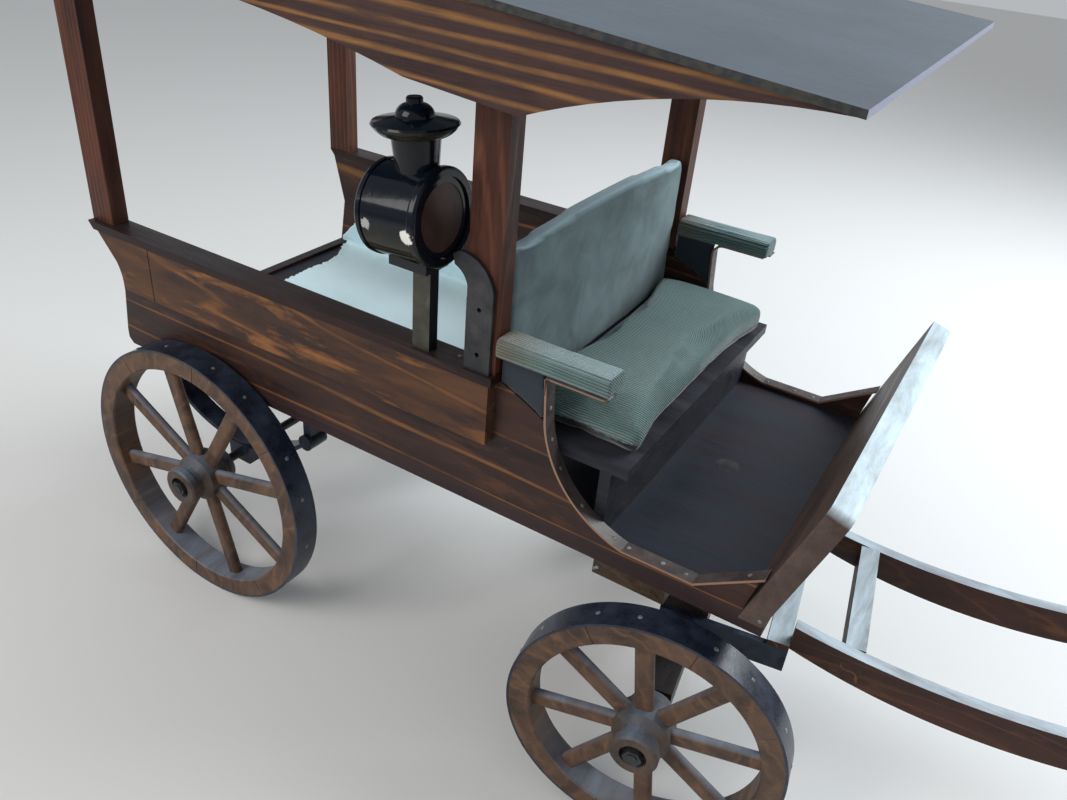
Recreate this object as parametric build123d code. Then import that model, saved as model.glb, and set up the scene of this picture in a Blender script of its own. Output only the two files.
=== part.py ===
from build123d import *
import os
from math import cos, radians, sin, sqrt

# Wooden show cart: a four-wheeled open delivery wagon with a driver's seat, a flat roof on
# four posts, a lamp beside the driver and a pair of shafts on a steered fore-carriage.
# Millimetres. X forward, Y to the left, Z up. Everything is drawn with X measured from the
# rear axle and is moved by the function stored() so that the origin lies under the middle.

# Driving dimensions: wheels and axles
wheelbase = 506.5         # from the rear axle to the king pin
half_track = 208.0        # from the centre line to the outer face of a tyre
rear_wheel_d = 300.0
front_wheel_d = 248.0
tyre_width = 28.0
tyre_t = 2.5
rim_depth = 22.0          # radial depth of the wooden rim with its tyre
spoke_count = 8
rear_spoke_turn = 14.5    # degrees from forward up to the first spoke
front_spoke_turn = 8.0
spoke_width = 17.0
spoke_t = 10.0
hub_barrel_r = 26.0
hub_nose_r = 19.0
hub_ring_r = 21.5
hub_nose = 19.0           # how far the hub stands out past the tyre
hub_inner = 12.0          # how far the hub stands in past the tyre
hub_recess_r = 12.0
hub_recess = 7.0
axle_r = 5.0
running_fit = 0.05        # radial clearance of a bore on its pin
nut_flats = 15.0
nut_t = 9.0
felloe_joints = 8
felloe_kerf = 0.8
steer_parked = 8.85       # degrees to the left, as the cart stands

# Driving dimensions: body
body_bottom = 263.0
rail_top = 403.0
rail_t = 8.0
rail_rear = -134.0
rail_outer = 189.0
body_rear = -120.0
body_waist = -112.0       # rear edge of the side where the panel begins
side_outer = 175.0
side_t = 12.0
panel_t = 11.0
panel_bottom = 337.0
panel_foot_rear = -97.0
panel_foot = 6.0          # how far the panel's rear edge stands upright before it curves
panel_knee = -103.0       # where the curve of the rear edge turns into the straight slope
panel_knee_z = 366.0
panel_front = 352.0
panel_seam = -52.0
seam_width = 1.2
seam_depth = 1.0
side_front_gap = 4.0      # between the side's front end and the front board, at the top
floor_t = 16.0
floor_chamfer = 6.0
cloth_t = 1.6
cloth_rear = -100.0
fabric_gap = 0.3          # how far soft pieces stay from what they lie against
sill_height = 4.0         # above the floor
sill_t = 12.0
front_board_foot = 585.8  # rear face of the front board on the floor
front_board_rise = 129.5
front_board_lean = 17.5
front_board_t = 18.0
front_board_half = 183.0
front_board_corner = 9.0
footwell_floor = 283.0
footwell_rear = 397.0
footwell_shoulder = 372.0 # where the straight rear edge turns into the sweep
footwell_sweep = 108.0    # radius of the sweep down to the flat
scoop_low = 374.0         # where the side falls to behind the armrest
footwell_flat_rear = 482.0
footwell_flat_front = 545.0
footwell_rise = 34.0      # from the flat of the footwell up to the front board
footwell_bend = 12.0      # the rounded corner under the armrest
strip_t = 2.0
strip_lip = 1.5           # how far the strip stands out past the side

# Driving dimensions: posts and roof
post_x = 30.0
post_y = 18.0
post_outer = 182.0
post_rear = -134.0        # rear face of the rear posts
post_front = 325.0        # rear face of the front posts
roof_front = 587.0
roof_rear = -172.0
roof_front_top = 663.0
roof_slope = 4.6          # degrees, falling to the front
roof_t = 5.0
roof_half = 219.0
batten_x = 24.0
batten_z = 14.0
valance_t = 12.0
valance_inset = 5.0
valance_depth = 64.0
valance_arch = 14.0
valance_end = 4.0         # how far its ends stay from the ends of the roof
valance_nose = 39.0       # from the middle of the front post to the foot of the front curve
valance_flat = 53.0       # from the middle of the front post back to the arch
valance_tail = 47.0       # from the middle of the rear post forward to the arch
valance_heel = 7.0        # from the middle of the rear post back to the slanting end
nose_run = 110.0          # from the front end back to the middle of the front curve
nose_depth = 27.0
nose_tip = 1.0
tail_tip = 4.0

# Driving dimensions: seat
seat_top = 352.0          # top of the bare seat board
seat_board_t = 10.0
seat_front = 478.0
seat_nose = 6.0           # how far the cushion stands out over the board
cushion_half = 156.0
cushion_t = 30.0
cushion_round = 8.0
back_front = 350.0
back_t = 12.0
back_end_top = 500.0
back_crown = 9.0
arm_top = 438.0
arm_t = 16.0
arm_width = 26.0
arm_front = 456.0
arm_outer = 186.0
riser_t = 10.0
riser_inset = 14.0

# Driving dimensions: lamp
lamp_x = 282.0
lamp_y = 187.0
lamp_z = 520.0
lamp_lean = 4.0           # degrees, leaning back
lamp_r = 36.0
lamp_front = 24.0         # from the lamp's upright axis to the front of the bezel
lamp_rear = 35.0
stem_x = 17.0
stem_y = 11.0
stem_middle = 283.5
stem_inset = 4.25         # from the rail's outer edge to the stem
saddle_x = 36.0
saddle_y = 28.0
saddle_t = 3.0
saddle_foot = 5.0         # how far the saddle's top stands up round the drum
bezel_r = 38.0
bezel_t = 8.0
bezel_step = 2.0
glass_r = 26.0
glass_set_back = 2.7
glass_t = 3.0
collar_r = 18.5
cap_r = 32.5
knob_r = 6.2
bracket_t = 4.0
bracket_set_back = 2.5    # from the post's rear face to the iron
bracket_width = 24.0
bracket_height = 69.0     # of the straight part
bracket_hole_r = 2.0
bracket_hole = 15.0       # from the ends of the straight part to the two holes

# Driving dimensions: springs, bolster and fore-carriage
spring_y = 132.0
spring_half = 103.0
spring_eye_z = 204.0
spring_eye_r = 9.0
spring_leaf_t = 6.0
spring_width = 22.0
bolster_behind = 50.5     # how far the bolster reaches behind the king pin
bolster_ahead = 15.5
bolster_half = 167.0
bolster_t = 22.0
carriage_gap = 0.3
turntable_r = 72.0
turntable_t = 9.0
block_half = 84.0
block_depth = 44.0
beam_half = 163.0
beam_depth = 28.0
beam_height = 30.0
king_pin_r = 5.0
pin_head_r = 11.0
pin_head_t = 4.0
pin_nut_flats = 16.0
pin_nut_t = 8.0
pin_nut_gap = 1.0         # between the beam and the nut
pin_end = 3.0             # how far the pin stands out under its nut
axle_clearance = 2.0      # between the king pin and the halves of the front axle
draw_bar_t = 6.0
draw_bar_height = 26.0
draw_bar_rear = -22.0
draw_bar_front = 98.0
cross_beam_depth = 20.0
cross_beam_cap = 6.0      # how far the cross beam stands above the bars it lies on
cross_beam_web = 22.0     # how far it reaches down between the bars
shaft_gap_half = 75.0     # from the middle to the inner face of a shaft
shaft_t = 12.0
shaft_root_height = 26.0
shaft_dip = 20.0          # how far the top dips past the root
shaft_dip_run = 168.0     # from the root to the bottom of the dip
shaft_dip_height = 36.0
shaft_tip_rise = 36.0     # how far the tip's top lies above the root's
shaft_tip_height = 20.0
shaft_length = 455.0
shaft_bar_run = 54.0      # from the root to the middle of the cross bar
shaft_bar_depth = 18.0
shaft_bar_height = 28.0
tenon_drop = 9.0          # how far the tenon's top lies under the bar's
shaft_seat = 1.0          # between the draw bars and the shafts

# Worked out from the driving dimensions
side_inner = side_outer - side_t
floor_top = body_bottom + floor_t
rear_r = rear_wheel_d / 2
front_r = front_wheel_d / 2
rise_z = footwell_floor + footwell_rise
post_front_end = post_front + post_x
arm_rear = post_front_end + fabric_gap
bracket_top = rail_top + bracket_height
bolster_bottom = body_bottom - bolster_t
turntable_top = bolster_bottom - carriage_gap
beam_bottom = front_r - beam_height / 2
back_half = side_inner - fabric_gap
beam_top = front_r + beam_height / 2
draw_bar_top = beam_top + draw_bar_height
rail_bottom = rail_top - rail_t
roof_fall = sin(radians(roof_slope)) / cos(radians(roof_slope))
front_board_front = front_board_foot + front_board_t / cos(radians(front_board_lean))
shaft_root = draw_bar_front
shaft_tip = shaft_root + shaft_length
shaft_root_low = draw_bar_top + shaft_seat
shaft_root_top = shaft_root_low + shaft_root_height


def stored_middle():
    """X of the middle of the whole cart, from its rearmost to its foremost point."""
    turn = radians(steer_parked)
    tip = wheelbase + shaft_tip * cos(turn) + (shaft_gap_half + shaft_t) * sin(turn)
    return (roof_rear + tip) / 2


def roof_z(x, below=0.0):
    """Height of the roof's top face at x, or of a plane parallel to it further down."""
    return roof_front_top + (roof_front - x) * roof_fall - below


def slab(x0, x1, y0, y1, z0, z1):
    """A box between two corners."""
    size = Box(abs(x1 - x0), abs(y1 - y0), abs(z1 - z0))
    return Pos((x0 + x1) / 2, (y0 + y1) / 2, (z0 + z1) / 2) * size


def side_plate(face, y0, y1):
    """A face drawn in the XZ plane, made into a plate from y0 to y1."""
    plate = extrude(Plane.XZ.offset(-y0) * face, amount=-(y1 - y0))
    return plate


def outline(*edges):
    """A face inside edges that follow each other in the drawing plane."""
    return make_face(Wire([edge for group in edges for edge in group.edges()]))


def left(part):
    """The left-hand copy of a right-hand piece."""
    return mirror(part, about=Plane.XZ)


# Wheels

def hub(radius):
    """Turned hub of a right-hand wheel, its axis along Y, its outer side at -Y."""
    inner = tyre_width + hub_inner
    middle = tyre_width / 2
    profile = Polyline(
        (axle_r + running_fit, -inner),
        (hub_nose_r, -inner),
        (hub_nose_r + 2, -inner + 6),
        (hub_nose_r + 2, -inner + 10),
        (hub_barrel_r, -middle - 11),
        (hub_barrel_r, -middle + 11),
        (hub_nose_r, 3),
        (hub_nose_r, hub_nose - 8),
        (hub_ring_r, hub_nose - 8),
        (hub_ring_r, hub_nose - 2),
        (hub_ring_r - 2, hub_nose),
        (hub_recess_r, hub_nose),
        (hub_recess_r, hub_nose - hub_recess),
        (axle_r + running_fit, hub_nose - hub_recess),
        (axle_r + running_fit, -inner),
    )
    turned = revolve(make_face(Plane.XY * profile), axis=Axis.Y)
    return mirror(turned, about=Plane.XZ)


def spoked_rim(radius, turn):
    """Wooden rim of eight felloes with its flat rounded spokes, ending on the barrel of the hub."""
    wood_r = radius - tyre_t
    inner_r = radius - rim_depth
    ring = Cylinder(wood_r, tyre_width) - Cylinder(inner_r, tyre_width + 2)
    ring = chamfer(ring.edges().filter_by(GeomType.CIRCLE).sort_by(SortBy.RADIUS)[:2], 1.5)
    spoke = SlotOverall(spoke_width, spoke_t)
    arm = extrude(Plane.YZ.offset(hub_barrel_r - 3) * Rot(0, 0, 0) * spoke, amount=inner_r - hub_barrel_r + 6)
    for number in range(spoke_count):
        ring += Rot(0, 0, 360 * number / spoke_count + turn) * arm
    ring -= Cylinder(hub_barrel_r, tyre_width)
    joint = Box(rim_depth * 2, felloe_kerf, 2 * felloe_kerf)
    joints = [Pos((wood_r + inner_r) / 2, 0, side * tyre_width / 2) * joint for side in (-1, 1)]
    for number in range(felloe_joints):
        ring -= [Rot(0, 0, 360 * (number + 0.5) / felloe_joints + turn) * cut for cut in joints]
    return ring


def tyre(radius):
    """Flat iron tyre."""
    return Cylinder(radius, tyre_width) - Cylinder(radius - tyre_t, tyre_width + 2)


def wheel_pieces(radius, turn):
    """Hub, spoked rim and tyre of a right-hand wheel whose outer face lies in y = 0."""
    lay = Pos(0, tyre_width / 2, 0) * Rot(90, 0, 0)
    return {"hub": hub(radius), "rim": lay * spoked_rim(radius, turn), "tyre": lay * tyre(radius)}


def axle(radius):
    """Round axle with a nut at each end, lying in the hubs of its two wheels."""
    nut_foot = half_track + hub_nose - hub_recess + 0.5
    rod = Rot(90, 0, 0) * Cylinder(axle_r, 2 * (nut_foot + nut_t + 1))
    for way in (-1, 1):
        nut = extrude(RegularPolygon(nut_flats / 2, 6, major_radius=False), amount=nut_t)
        rod += Pos(0, way * nut_foot, 0) * Rot(-90 * way, 0, 0) * nut
    return Pos(0, 0, radius) * rod


# Body

def floor_board():
    """Thick floor under the whole body, its lower rear edge taken off, with the king pin's hole."""
    board = slab(body_rear, front_board_front, -side_outer, side_outer, body_bottom, floor_top)
    board = chamfer(board.edges().filter_by(Axis.Y).group_by(Axis.Z)[0].sort_by(Axis.X)[0], floor_chamfer)
    board -= Pos(wheelbase, 0, floor_top) * Cylinder(king_pin_r, 4 * floor_t)
    return board - Pos(wheelbase, 0, floor_top) * Cylinder(pin_head_r, 2 * pin_head_t)


def footwell():
    """The opening in the side in front of the seat, up to the armrest."""
    under_arm = arm_top - arm_t
    bend = footwell_bend
    shoulder = (footwell_rear + 3, footwell_shoulder)
    lower = RadiusArc((footwell_flat_rear, footwell_floor), shoulder, footwell_sweep)
    upper = Polyline(shoulder, (footwell_rear, under_arm - bend))
    corner = ThreePointArc(
        (footwell_rear, under_arm - bend),
        (footwell_rear + bend * 0.32, under_arm - bend * 0.27),
        (footwell_rear + bend, under_arm),
    )
    rest = Polyline(
        (footwell_rear + bend, under_arm),
        (board_line(under_arm), under_arm),
        (board_line(rise_z), rise_z),
        (footwell_flat_front, footwell_floor),
        (footwell_flat_rear, footwell_floor),
    )
    return outline(lower, upper, corner, rest)


def board_line(z):
    """X of the rear face of the leaning front board at height z."""
    lean = radians(front_board_lean)
    return front_board_foot + (z - floor_top) * sin(lean) / cos(lean)


def rear_slope(z):
    """X of the side's sloping rear edge at height z, above the panel's knee."""
    return panel_knee + (rail_rear - panel_knee) * (z - panel_knee_z) / (rail_top - panel_knee_z)


def side_board():
    """Right-hand side from the rear end to the front board, with its footwell cut out."""
    front_end = board_line(rise_z) - side_front_gap
    blank = Polyline(
        (body_rear, floor_top),
        (body_waist, panel_bottom),
        (rear_slope(rail_bottom), rail_bottom),
        (panel_front + 4, rail_bottom),
        (panel_front + 30, scoop_low + 10),
        (footwell_rear + 3, scoop_low),
        (footwell_rear + 40, scoop_low - 40),
        (front_end, scoop_low - 40),
        (front_end, rise_z),
        (board_line(floor_top), floor_top),
        (body_rear, floor_top),
    )
    face = make_face(blank) - footwell()
    return side_plate(face, -side_outer, -side_inner)


def side_panel():
    """Raised panel on the upper half of the side, its rear edge curving out, with an upright seam."""
    curve_foot = (panel_foot_rear, panel_bottom + panel_foot)
    knee = (panel_knee, panel_knee_z)
    shape = outline(
        Polyline((panel_foot_rear, panel_bottom), curve_foot),
        TangentArc(curve_foot, knee, tangent=(0, 1)),
        Polyline(
            knee,
            (rear_slope(rail_bottom), rail_bottom),
            (panel_front, rail_bottom),
            (panel_front, panel_bottom),
            (panel_foot_rear, panel_bottom),
        ),
    )
    outer = -side_outer - panel_t
    seam = slab(panel_seam, panel_seam + seam_width, outer - 1, outer + seam_depth,
                panel_bottom - 1, rail_bottom + 1)
    return side_plate(shape, outer, -side_outer) - seam


def rail():
    """Flat cap on top of the side, its rear end cut to the slope of the side."""
    shape = Polyline(
        (rear_slope(rail_bottom), rail_bottom),
        (rail_rear, rail_top),
        (panel_front + 4, rail_top),
        (panel_front + 4, rail_bottom),
        (rear_slope(rail_bottom), rail_bottom),
    )
    return side_plate(make_face(shape), -rail_outer, -side_inner)


def edging():
    """Nailed strip round the footwell, free where it bends forward under the armrest."""
    hole = footwell()
    band = hole - offset(hole, amount=-strip_t)
    keep = Polyline(
        (footwell_rear - 20, arm_top),
        (arm_front - 4, arm_top),
        (arm_front - 4, arm_top - arm_t - 6),
        (footwell_rear + 24, arm_top - arm_t - 6),
        (footwell_rear + 24, footwell_shoulder),
        (footwell_flat_rear + 20, rise_z + 12),
        (board_line(rise_z) - 1, rise_z + 2),
        (board_line(rise_z) - 1, floor_top),
        (footwell_rear - 20, floor_top),
        (footwell_rear - 20, arm_top),
    )
    return side_plate(band & make_face(keep), -side_outer - strip_lip, -side_inner)


def front_board():
    """Thick leaning board across the front of the footwell, its foot cut level."""
    lean = Pos(front_board_foot, 0, floor_top) * Rot(0, front_board_lean, 0)
    middle = Pos(front_board_t / 2, 0, (front_board_rise - front_board_t) / 2)
    board = middle * Box(front_board_t, 2 * front_board_half, front_board_rise + front_board_t)
    board = fillet(board.edges().filter_by(Axis.X).sort_by(Axis.Z)[-2:], front_board_corner)
    below = slab(front_board_foot - front_board_t, front_board_front + front_board_t,
                 -2 * front_board_half, 2 * front_board_half, floor_top - 2 * front_board_t, floor_top)
    return lean * board - below


def post(x, foot):
    """One right-hand post from the rail up to the roof batten."""
    top = roof_z(x + post_x / 2, roof_t) + post_x
    blank = slab(x, x + post_x, -post_outer, -post_outer + post_y, foot, top)
    below = Pos(x + post_x / 2, 0, roof_z(x + post_x / 2, roof_t + batten_z)) * Rot(0, roof_slope, 0)
    return blank - below * Pos(0, 0, 2 * post_x) * Box(4 * post_x, 4 * post_outer, 4 * post_x)


def roof_plate(x0, x1, half, top, thick):
    """A flat piece parallel to the roof, its upper face at depth top under the roof's."""
    shape = Polyline(
        (x0, roof_z(x0, top)),
        (x1, roof_z(x1, top)),
        (x1, roof_z(x1, top + thick)),
        (x0, roof_z(x0, top + thick)),
        (x0, roof_z(x0, top)),
    )
    return side_plate(make_face(shape), -half, half)


def valance():
    """Right-hand shaped plank under the roof edge, deepest at the posts."""
    y1 = -roof_half + valance_inset
    front_post = post_front + post_x / 2
    rear_post = post_rear + post_x / 2
    under = roof_t
    front_tip = roof_front - valance_end
    rear_tip = roof_rear + valance_end
    low_front = (front_post + valance_nose, roof_z(front_post + valance_nose, valance_depth))
    low_rear = (front_post - valance_flat, roof_z(front_post - valance_flat, valance_depth))
    tail_front = (rear_post + valance_tail, roof_z(rear_post + valance_tail, valance_depth))
    middle = (low_rear[0] + tail_front[0]) / 2
    top = Polyline(
        (rear_tip, roof_z(rear_tip, under + tail_tip)),
        (rear_tip, roof_z(rear_tip, under)),
        (front_tip, roof_z(front_tip, under)),
        (front_tip, roof_z(front_tip, under + nose_tip)),
    )
    nose = ThreePointArc(
        (front_tip, roof_z(front_tip, under + nose_tip)),
        (front_tip - nose_run, roof_z(front_tip - nose_run, nose_depth)),
        low_front,
    )
    flat = Polyline(low_front, low_rear)
    arch = ThreePointArc(low_rear, (middle, roof_z(middle, valance_depth - valance_arch)), tail_front)
    tail = Polyline(
        tail_front,
        (rear_post - valance_heel, roof_z(rear_post - valance_heel, valance_depth)),
        (rear_tip, roof_z(rear_tip, under + tail_tip)),
    )
    return side_plate(outline(top, nose, flat, arch, tail), y1, y1 + valance_t)


# Seat

def cushion():
    """Seat cushion as a plain block with rounded upper edges."""
    block = slab(back_front + fabric_gap, seat_front, -cushion_half, cushion_half,
                 seat_top, seat_top + cushion_t)
    return fillet(block.edges().filter_by(GeomType.LINE).group_by(Axis.Z)[-1], cushion_round)


def seat_back():
    """Upholstered back with a slightly arched top, between the front posts."""
    near = (-back_half, back_end_top)
    far = (back_half, back_end_top)
    shape = outline(
        Polyline(near, (-back_half, seat_top), (back_half, seat_top), far),
        ThreePointArc(far, (0, back_end_top + back_crown), near),
    )
    return extrude(Plane.YZ.offset(back_front - back_t) * shape, amount=back_t)


def armrest():
    """Right-hand padded armrest with the upholstered gusset that carries it."""
    under = arm_top - arm_t
    block = slab(arm_rear, arm_front, -arm_outer, -arm_outer + arm_width, under, arm_top)
    block = fillet(block.edges().filter_by(Axis.X).group_by(Axis.Z)[-1], 4)
    gusset = Polyline(
        (panel_front + 4.3, under),
        (panel_front + 4.3, rail_bottom + 0.3),
        (panel_front + 30, scoop_low + 11),
        (footwell_rear + 2.6, scoop_low + 0.5),
        (footwell_rear - 0.4, under - 12),
        (footwell_rear - 0.4, under),
        (panel_front + 4.3, under),
    )
    return block + side_plate(make_face(gusset), -side_outer, -side_inner)


# Lamps

def leaning(part):
    """A piece of the lamp, drawn about the drum's middle, put on its saddle."""
    return Pos(lamp_x, -lamp_y, lamp_z) * Rot(0, -lamp_lean, 0) * part


def lamp_body():
    """Drum lantern with its front bezel, collar, lens-shaped cap and knob."""
    drum_length = lamp_rear + lamp_front - bezel_t
    drum = Pos(lamp_front - bezel_t - drum_length / 2, 0, 0) * Rot(0, 90, 0) * Cylinder(lamp_r, drum_length)
    drum = fillet(drum.edges().filter_by(GeomType.CIRCLE).sort_by(Axis.X)[0], 5)
    rear_band = Pos(6 - lamp_rear, 0, 0) * Rot(0, 90, 0) * (Cylinder(lamp_r + 1, 3))
    ring = Pos(lamp_front - bezel_t / 2, 0, 0) * Rot(0, 90, 0) * Cylinder(bezel_r, bezel_t)
    ring = fillet(ring.edges().filter_by(GeomType.CIRCLE), 2.5)
    shell = drum + rear_band + ring
    shell -= Pos(lamp_front, 0, 0) * Rot(0, 90, 0) * Cylinder(glass_r + 5, 2 * bezel_step)
    shell -= Pos(lamp_front, 0, 0) * Rot(0, 90, 0) * Cylinder(glass_r, 2 * (glass_set_back + glass_t))
    under = Polyline(
        (0, lamp_r - 6),
        (collar_r - 2.5, lamp_r - 6),
        (collar_r, lamp_r + 21),
        (collar_r + 5, lamp_r + 22),
    )
    bowl = ThreePointArc((collar_r + 5, lamp_r + 22), (cap_r - 4, lamp_r + 25), (cap_r, lamp_r + 30))
    brim = Polyline((cap_r, lamp_r + 30), (cap_r - 1, lamp_r + 31.5), (14.5, lamp_r + 35))
    dome = ThreePointArc((14.5, lamp_r + 35), (12, lamp_r + 41), (knob_r, lamp_r + 44))
    top = lamp_r + 48.5
    knob = Polyline((knob_r, lamp_r + 44), (knob_r, top - 1), (knob_r - 1, top), (0, top), (0, lamp_r - 6))
    return leaning(shell + revolve(Plane.XZ * outline(under, bowl, brim, dome, knob), axis=Axis.Z))


def lamp_glass():
    """Round glass set into the bezel."""
    middle = lamp_front - glass_set_back - glass_t / 2
    return leaning(Pos(middle, 0, 0) * Rot(0, 90, 0) * Cylinder(glass_r, glass_t))


def lamp_stand():
    """Flat stem with the saddle that the drum lies on."""
    drum_foot = lamp_z - lamp_r
    outer = -rail_outer + stem_inset
    stand = slab(stem_middle - stem_x / 2, stem_middle + stem_x / 2, outer, outer + stem_y,
                 rail_top, drum_foot)
    plate = slab(lamp_x - saddle_x / 2, lamp_x + saddle_x / 2, -lamp_y - saddle_y / 2, -lamp_y + saddle_y / 2,
                 drum_foot - saddle_t - 3, drum_foot - 3 + saddle_foot)
    drum = leaning(Rot(0, 90, 0) * Cylinder(lamp_r, 4 * lamp_r))
    return stand + plate - drum


def lamp_bracket():
    """Flat iron on the post's outer face, its top curling back towards the lamp."""
    x0 = post_front + bracket_set_back
    x1 = x0 + bracket_width
    foot = Polyline((x0, bracket_top - 8), (x0, rail_top), (x1, rail_top), (x1, bracket_top))
    outer = ThreePointArc((x1, bracket_top), (x1 - 9, bracket_top + 19), (x0 - 8, bracket_top + 28))
    tip = Polyline((x0 - 8, bracket_top + 28), (x0 - 14, bracket_top + 24), (x0 - 12, bracket_top + 16))
    inner = ThreePointArc((x0 - 12, bracket_top + 16), (x0 - 3, bracket_top + 9), (x0, bracket_top - 8))
    plate = side_plate(outline(foot, outer, tip, inner), -post_outer - bracket_t, -post_outer)
    for z in (rail_top + bracket_hole, bracket_top - bracket_hole):
        plate -= Pos((x0 + x1) / 2, -post_outer, z) * Rot(90, 0, 0) * Cylinder(bracket_hole_r, 4 * bracket_t)
    return plate


# Under the body

def rear_spring():
    """Right-hand leaf spring on its axle clip, with its eyes and the hangers that hold them."""
    clip_top = rear_r + axle_r + 4
    sag = clip_top + 2
    leaf = outline(
        ThreePointArc((-spring_half, spring_eye_z), (0, sag), (spring_half, spring_eye_z)),
        Polyline((spring_half, spring_eye_z), (spring_half, spring_eye_z + spring_leaf_t)),
        ThreePointArc(
            (spring_half, spring_eye_z + spring_leaf_t),
            (0, sag + spring_leaf_t),
            (-spring_half, spring_eye_z + spring_leaf_t),
        ),
        Polyline((-spring_half, spring_eye_z + spring_leaf_t), (-spring_half, spring_eye_z)),
    )
    y0 = -spring_y - spring_width / 2
    spring = side_plate(leaf, y0, y0 + spring_width)
    for way in (-1, 1):
        eye = Pos(way * spring_half, -spring_y, spring_eye_z + spring_leaf_t / 2) * Rot(90, 0, 0)
        spring += eye * Cylinder(spring_eye_r, spring_width + 2)
        spring += slab(way * spring_half - 5, way * spring_half + 5, y0 + 3, y0 + spring_width - 3,
                       spring_eye_z, body_bottom)
    clip = slab(-15, 15, y0 - 1, y0 + spring_width + 1, rear_r - axle_r - 5, clip_top + 4)
    spring += clip
    return spring - Pos(0, -spring_y, rear_r) * Rot(90, 0, 0) * Cylinder(axle_r, 2 * spring_width)


def bolster():
    """Thick bar under the floor that the fore-carriage turns against."""
    board = slab(wheelbase - bolster_behind, wheelbase + bolster_ahead, -bolster_half, bolster_half,
                 bolster_bottom, body_bottom)
    return board - Pos(wheelbase, 0, body_bottom) * Cylinder(king_pin_r, 4 * bolster_t)


def king_pin():
    """Bolt from the floor down through the fore-carriage, with a sunk round head and a nut."""
    nut_foot = beam_bottom - pin_nut_gap - pin_nut_t
    top = floor_top - pin_head_t
    bottom = nut_foot - pin_end
    pin = Pos(wheelbase, 0, (top + bottom) / 2) * Cylinder(king_pin_r, top - bottom)
    pin += Pos(wheelbase, 0, floor_top - pin_head_t / 2) * Cylinder(pin_head_r, pin_head_t)
    nut = extrude(RegularPolygon(pin_nut_flats / 2, 6, major_radius=False), amount=pin_nut_t)
    return pin + Pos(wheelbase, 0, nut_foot) * nut


# Fore-carriage, drawn straight with its king pin at x = 0

def turntable():
    """Round plate on a block that stands on the axle beam."""
    plate = Pos(0, 0, turntable_top - turntable_t / 2) * Cylinder(turntable_r, turntable_t)
    block = slab(-block_depth / 2, block_depth / 2, -block_half, block_half,
                 beam_top, turntable_top - turntable_t)
    hole = Pos(0, 0, front_r) * Cylinder(king_pin_r + running_fit, 2 * rail_top)
    return plate + block - hole


def axle_beam():
    """Wooden beam that the front axle runs through."""
    beam = slab(-beam_depth / 2, beam_depth / 2, -beam_half, beam_half, beam_bottom, beam_top)
    beam -= Pos(0, 0, front_r) * Rot(90, 0, 0) * Cylinder(axle_r, 3 * beam_half)
    return beam - Pos(0, 0, front_r) * Cylinder(king_pin_r + running_fit, 3 * beam_height)


def front_axle():
    """The front axle, in two halves past the king pin."""
    gap = 2 * king_pin_r + 2 * axle_clearance
    return axle(front_r) - Pos(0, 0, front_r) * Box(gap, gap, gap)


def draw_bars():
    """Two flat bars from the ends of the block forward to the cross beam."""
    y0 = block_half
    bar = slab(draw_bar_rear, draw_bar_front, -y0 - draw_bar_t, -y0,
               draw_bar_top - draw_bar_height, draw_bar_top)
    return [bar, left(bar)]


def cross_beam():
    """Cross piece that joins the bars and carries the shafts."""
    x0 = draw_bar_front - cross_beam_depth
    half = block_half + draw_bar_t
    cap = slab(x0, draw_bar_front, -half, half, draw_bar_top, draw_bar_top + cross_beam_cap)
    web = slab(x0, draw_bar_front, -block_half, block_half, draw_bar_top - cross_beam_web, draw_bar_top)
    return cap + web


def shaft_upper():
    """Upper edge of a shaft: it dips past its root and rises to the tip."""
    root = (shaft_root, shaft_root_top)
    dip = (shaft_root + shaft_dip_run, shaft_root_top - shaft_dip)
    tip = (shaft_tip - shaft_tip_height / 2, shaft_root_top + shaft_tip_rise)
    return ThreePointArc(root, dip, tip)


def shaft_plank():
    """Right-hand shaft without its mortise, with a rounded tip."""
    tip_x = shaft_tip - shaft_tip_height / 2
    tip_top = shaft_root_top + shaft_tip_rise
    lower = ThreePointArc(
        (tip_x, tip_top - shaft_tip_height),
        (shaft_root + shaft_dip_run, shaft_root_top - shaft_dip - shaft_dip_height),
        (shaft_root, shaft_root_low),
    )
    end = ThreePointArc(
        (tip_x, tip_top),
        (shaft_tip, tip_top - shaft_tip_height / 2),
        (tip_x, tip_top - shaft_tip_height),
    )
    heel = Polyline((shaft_root, shaft_root_low), (shaft_root, shaft_root_top))
    return side_plate(outline(shaft_upper(), end, lower, heel), -shaft_gap_half - shaft_t, -shaft_gap_half)


def shaft_top(x):
    """Height of the shaft's upper edge at x."""
    edge = shaft_upper()
    return edge.arc_center.Y - sqrt(edge.radius ** 2 - (x - edge.arc_center.X) ** 2)


def shaft():
    """Right-hand shaft with the mortise for the cross bar."""
    return shaft_plank() - shaft_bar()


def shaft_bar():
    """Bar between the two shafts, on edge, with a tenon through each shaft."""
    x0 = shaft_root + shaft_bar_run - shaft_bar_depth / 2
    x1 = x0 + shaft_bar_depth
    top = shaft_top(shaft_root + shaft_bar_run)
    tenon_half = shaft_gap_half + shaft_t
    bar = slab(x0, x1, -shaft_gap_half, shaft_gap_half, top - shaft_bar_height, top)
    return bar + slab(x0, x1, -tenon_half, tenon_half, top - shaft_bar_height, top - tenon_drop)


def steered(part):
    """A fore-carriage piece put on its king pin and turned as the cart stands."""
    return Pos(wheelbase, 0, 0) * Rot(0, 0, steer_parked) * part


def stored(part):
    """A piece moved so that the origin lies under the middle of the cart."""
    return Pos(-stored_middle(), 0, 0) * part


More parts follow.
